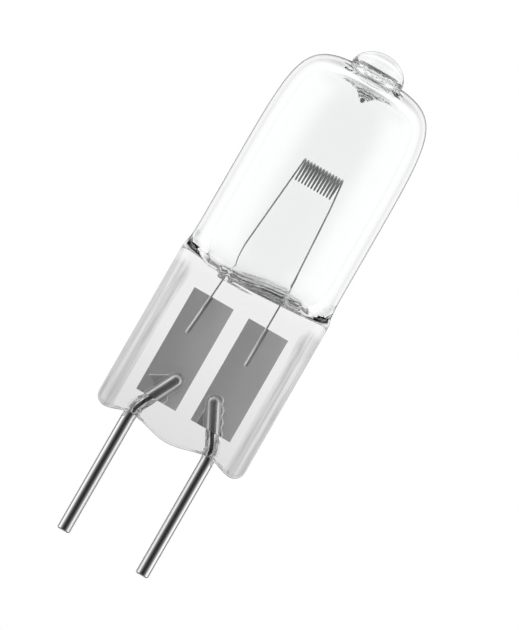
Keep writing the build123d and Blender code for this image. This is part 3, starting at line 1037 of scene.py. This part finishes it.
def ramp(tree, value, stops):
    """Colour ramp of grey or colour stops over a value."""
    node = tree.nodes.new("ShaderNodeValToRGB")
    elements = node.color_ramp.elements
    while len(elements) < len(stops):
        elements.new(0.5)
    for element, (place, colour) in zip(elements, stops):
        element.position = place
        element.color = (*colour, 1) if isinstance(colour, tuple) else (colour, colour, colour, 1)
    tree.links.new(value, node.inputs["Fac"])
    return node.outputs["Color"]


def blend(tree, factor, first, second):
    """Colour that goes from the first input to the second as the factor rises to 1; no input is white."""
    node = tree.nodes.new("ShaderNodeMix")
    node.data_type = "RGBA"
    tree.links.new(factor, node.inputs["Factor"])
    for place, colour in ((MIX_FIRST, first), (MIX_SECOND, second)):
        socket = node.inputs[place]
        socket.default_value = (1, 1, 1, 1)
        if colour is not None:
            tree.links.new(colour, socket)
    return node.outputs[MIX_RESULT]


def multiplied(tree, first, second):
    """Product of two colours."""
    node = tree.nodes.new("ShaderNodeMix")
    node.data_type = "RGBA"
    node.blend_type = "MULTIPLY"
    node.inputs["Factor"].default_value = 1.0
    tree.links.new(first, node.inputs[MIX_FIRST])
    tree.links.new(second, node.inputs[MIX_SECOND])
    return node.outputs[MIX_RESULT]


# Materials

def rib_streaks_and_shade(tree):
    """Draw lines that the pinch left along the ribs, darkened with painted shade of their rounded edges: dark
    lines at set distances that wander a little, with fine strands between them, up to the top of the press."""
    wander = stretched_noise(tree, WANDER_GRAIN, WANDER_STRETCH)
    reach = calculate(tree, "ABSOLUTE", axes(tree, "Object")["X"], 0.0)
    reach = calculate(tree, "ADD", reach, calculate(tree, "MULTIPLY", wander, WANDER * MM))
    # Painted shade and draw lines: the glass greys over the ribs' rounded edges, with darker lines in it
    lines = ramp(tree, share_between(tree, reach, STREAKS_START * MM, STREAKS_END * MM), STREAK_AND_SHADE_TONE)
    strands = ramp(tree, stretched_noise(tree, STRAND_GRAIN, STRAND_STRETCH), STRAND_TONE)
    within = share_between(tree, reach, STRANDS_START * MM, STRANDS_FULL * MM)
    lines = multiplied(tree, lines, blend(tree, within, None, strands))
    return blend(tree, height_share(tree, PRESS_TOP_Z - STREAKS_TOP_FADE, PRESS_TOP_Z), lines, None)


def fused_quartz():
    """Clear fused quartz, a little greyer down the press, with painted shade in swirls over the folds of the
    floor and along the gaps round the pins, and streaks along the ribs with painted shade of their rounded
    edges."""
    material, tree, shader = new_material("quartz_glass")
    shader.inputs["Transmission Weight"].default_value = 1.0
    shader.inputs["IOR"].default_value = QUARTZ_IOR
    shader.inputs["Roughness"].default_value = 0.0
    tone = ramp(tree, height_share(tree, QUARTZ_TONE_BOTTOM_Z, QUARTZ_TONE_TOP_Z), QUARTZ_TONE)
    # Painted shade: dark swirls where the mesh carries a share of it, in the folds of the floor and along the
    # gaps round the pins
    swirls = ramp(tree, stretched_noise(tree, PAINTED_FOLD_SHADE_GRAIN, PAINTED_FOLD_SHADE_STRETCH), PAINTED_FOLD_SHADE_TONE)
    tone = multiplied(tree, tone, blend(tree, painted_shade_share(tree), None, swirls))
    tree.links.new(multiplied(tree, tone, rib_streaks_and_shade(tree)), shader.inputs["Base Color"])
    return material


def drawn_wire():
    """Tungsten wire whose grey drifts along fine draw lines."""
    material, tree, shader = new_material("tungsten_wire")
    tone = ramp(tree, stretched_noise(tree, WIRE_GRAIN, WIRE_STRETCH), WIRE_TONE)
    tree.links.new(tone, shader.inputs["Base Color"])
    shader.inputs["Metallic"].default_value = 1.0
    shader.inputs["Roughness"].default_value = WIRE_ROUGHNESS
    return material


def polished_pin():
    """Polished pin metal, darker with streaks from the foot of the press upwards as painted shade of the pin
    inside the glass.
    """
    material, tree, shader = new_material("molybdenum_pin")
    noise = stretched_noise(tree, PIN_GRAIN, PIN_STRETCH)
    bare = ramp(tree, noise, BARE_PIN_TONE)
    # Painted shade: the pin is darker where it is sealed in the glass
    sealed = ramp(tree, noise, PAINTED_SHADE_PIN_TONE)
    in_glass = height_share(tree, FOOT_PIN_Z - SEALED_PIN_EDGE, FOOT_PIN_Z + SEALED_PIN_EDGE)
    tree.links.new(blend(tree, in_glass, bare, sealed), shader.inputs["Base Color"])
    shader.inputs["Metallic"].default_value = 1.0
    shader.inputs["Roughness"].default_value = PIN_ROUGHNESS
    return material


def satin_foil():
    """Rolled foil with a soft grain, a painted sheen that drifts from darker at each foil's left edge to
    lighter at its right edge, and painted shade where it is drawn over the pin."""
    material, tree, shader = new_material("molybdenum_foil")
    noise = stretched_noise(tree, FOIL_GRAIN, FOIL_STRETCH)
    # Painted sheen across the foils, from their left edges to their right ones
    across = share_between(tree, axes(tree, "Object")["X"], FOILS_LEFT_X * MM, FOILS_RIGHT_X * MM)
    flat = multiplied(tree, ramp(tree, noise, FLAT_FOIL_TONE), ramp(tree, across, PAINTED_SHEEN_DRIFT))
    # Painted shade where the foil is drawn over its pin
    drawn = ramp(tree, noise, PAINTED_SHADE_FOIL_TONE)
    tree.links.new(blend(tree, painted_shade_share(tree), flat, drawn), shader.inputs["Base Color"])
    shader.inputs["Metallic"].default_value = FOIL_METALLIC
    shader.inputs["Roughness"].default_value = FOIL_ROUGHNESS
    return material


# Studio

def white_studio():
    """World: plain white to the eye, darker below through glass, and in mirrored light a room with bright
    sides, a dim front and a dark table. Mirrors inside the glass see a brighter room with a dark ceiling."""
    world = bpy.data.worlds.new("studio")
    bpy.context.scene.world = world
    world.use_nodes = True
    tree = world.node_tree
    direction = axes(tree, "Generated")
    depth = share_between(tree, direction["Y"], -1.0, 1.0)
    downward = calculate(tree, "MULTIPLY", direction["Z"], -1.0)
    table = ramp(tree, downward, TABLE_MIRRORED)
    ceiling = ramp(tree, direction["Z"], CEILING_MIRRORED)
    on_metal = multiplied(tree, ramp(tree, depth, ROOM_ON_METAL), table)
    in_glass = multiplied(tree, multiplied(tree, ramp(tree, depth, ROOM_ON_GLASS), table), ceiling)
    rays = tree.nodes.new("ShaderNodeLightPath")
    through_glass = rays.outputs["Transmission Depth"]
    mirrored = blend(tree, through_glass, on_metal, in_glass)
    passed = blend(tree, through_glass, None, ramp(tree, downward, TABLE_THROUGH_GLASS))
    seen = blend(tree, rays.outputs["Glossy Depth"], passed, mirrored)
    tree.links.new(seen, tree.nodes["Background"].inputs["Color"])


def camera():
    """Long lens level with the bulb, rolled as the photograph is."""
    data = bpy.data.cameras.new("camera")
    data.lens = LENS
    data.sensor_width = SENSOR
    data.clip_start = NEAREST * MM
    data.clip_end = FARTHEST * MM
    view = bpy.data.objects.new("camera", data)
    bpy.context.scene.collection.objects.link(view)
    distance = LENS * FRAME_HEIGHT / SENSOR * MM
    cosine = math.cos(CAMERA_ROLL)
    sine = math.sin(CAMERA_ROLL)
    view.matrix_world = Matrix((
        (cosine, -sine, 0, CAMERA_X * MM),
        (0, 0, -1, -distance),
        (sine, cosine, 0, CAMERA_Z * MM),
        (0, 0, 0, 1),
    ))
    bpy.context.scene.camera = view


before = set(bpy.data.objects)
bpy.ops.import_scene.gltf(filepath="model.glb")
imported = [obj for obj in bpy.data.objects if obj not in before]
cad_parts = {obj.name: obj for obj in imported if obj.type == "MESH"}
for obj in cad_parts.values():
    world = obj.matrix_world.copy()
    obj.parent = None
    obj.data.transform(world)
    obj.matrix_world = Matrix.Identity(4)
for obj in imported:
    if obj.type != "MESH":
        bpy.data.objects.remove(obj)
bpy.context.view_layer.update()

foil_metal = satin_foil()
pin_metal = polished_pin()
quartz_envelope(fused_quartz())
tungsten_filament(drawn_wire())
seal_foil(LEFT, "seal_foil_left", foil_metal)
seal_foil(RIGHT, "seal_foil_right", foil_metal)
contact_pin(LEFT, "contact_pin_left", pin_metal)
contact_pin(RIGHT, "contact_pin_right", pin_metal)

white_studio()
camera()
bpy.context.scene.view_settings.view_transform = "Standard"
bpy.context.scene.cycles.max_bounces = MOST_BOUNCES
bpy.context.scene.cycles.transmission_bounces = MOST_BOUNCES
bpy.context.scene.cycles.glossy_bounces = GLOSSY_BOUNCES
